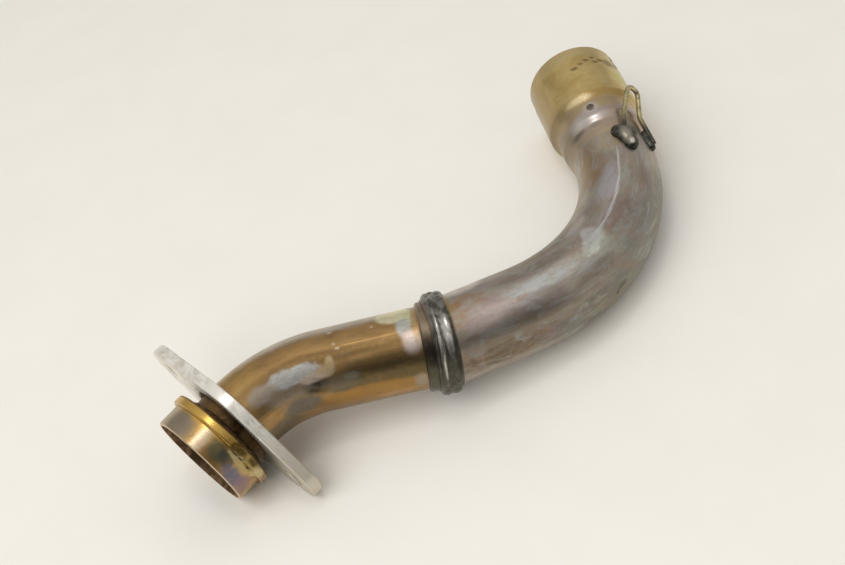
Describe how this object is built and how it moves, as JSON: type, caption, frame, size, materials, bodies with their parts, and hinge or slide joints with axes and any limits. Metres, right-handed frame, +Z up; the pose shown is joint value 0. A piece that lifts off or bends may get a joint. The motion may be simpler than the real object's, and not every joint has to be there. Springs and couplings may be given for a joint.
{
  "type": "motorcycle exhaust header",
  "caption": "Bent stainless exhaust header pipe: turned port collar, loose oval stud flange, welded mid joint, large bend and a socket with a spring hook for the silencer pipe.",
  "frame": {"origin": "middle of the header's box, on the table it lies on", "axes": "+Z up as it lies at rest; +X from the port collar towards the large bend; +Y towards the socket"},
  "size_m": [0.2964, 0.2154, 0.0629],
  "materials": {
    "collar_steel": "turned, heat tinted straw to bronze, sooty",
    "weld_metal": "weld bead, dark oxide, glossy crests",
    "flange_steel": "flat plate, scuffed bright",
    "front_tube_steel": "drawn tube, heat tinted bronze with burnt patches",
    "rear_tube_steel": "drawn tube, heat tinted mauve grey and brown",
    "socket_steel": "pressed sleeve, heat tinted straw gold",
    "hook_wire": "drawn wire, straw at the loop, dark at the feet"
  },
  "bodies": {
    "header": {"port_collar": "collar_steel", "collar_weld": "weld_metal", "front_pipe": "front_tube_steel", "mid_weld_ring": "weld_metal", "rear_pipe": "rear_tube_steel", "socket_sleeve": "socket_steel", "plug_weld": "weld_metal", "spring_hook": "hook_wire", "hook_weld_near": "weld_metal", "hook_weld_outer": "weld_metal"},
    "flange": {"flange_plate": "flange_steel"}
  },
  "joints": [
    {"name": "flange_turn", "type": "hinge", "parent": "header", "child": "flange", "pos_m": [-0.10932, -0.06267, 0.03195], "axis": [-0.8438, -0.524, -0.1156], "continuous": true}
  ]
}
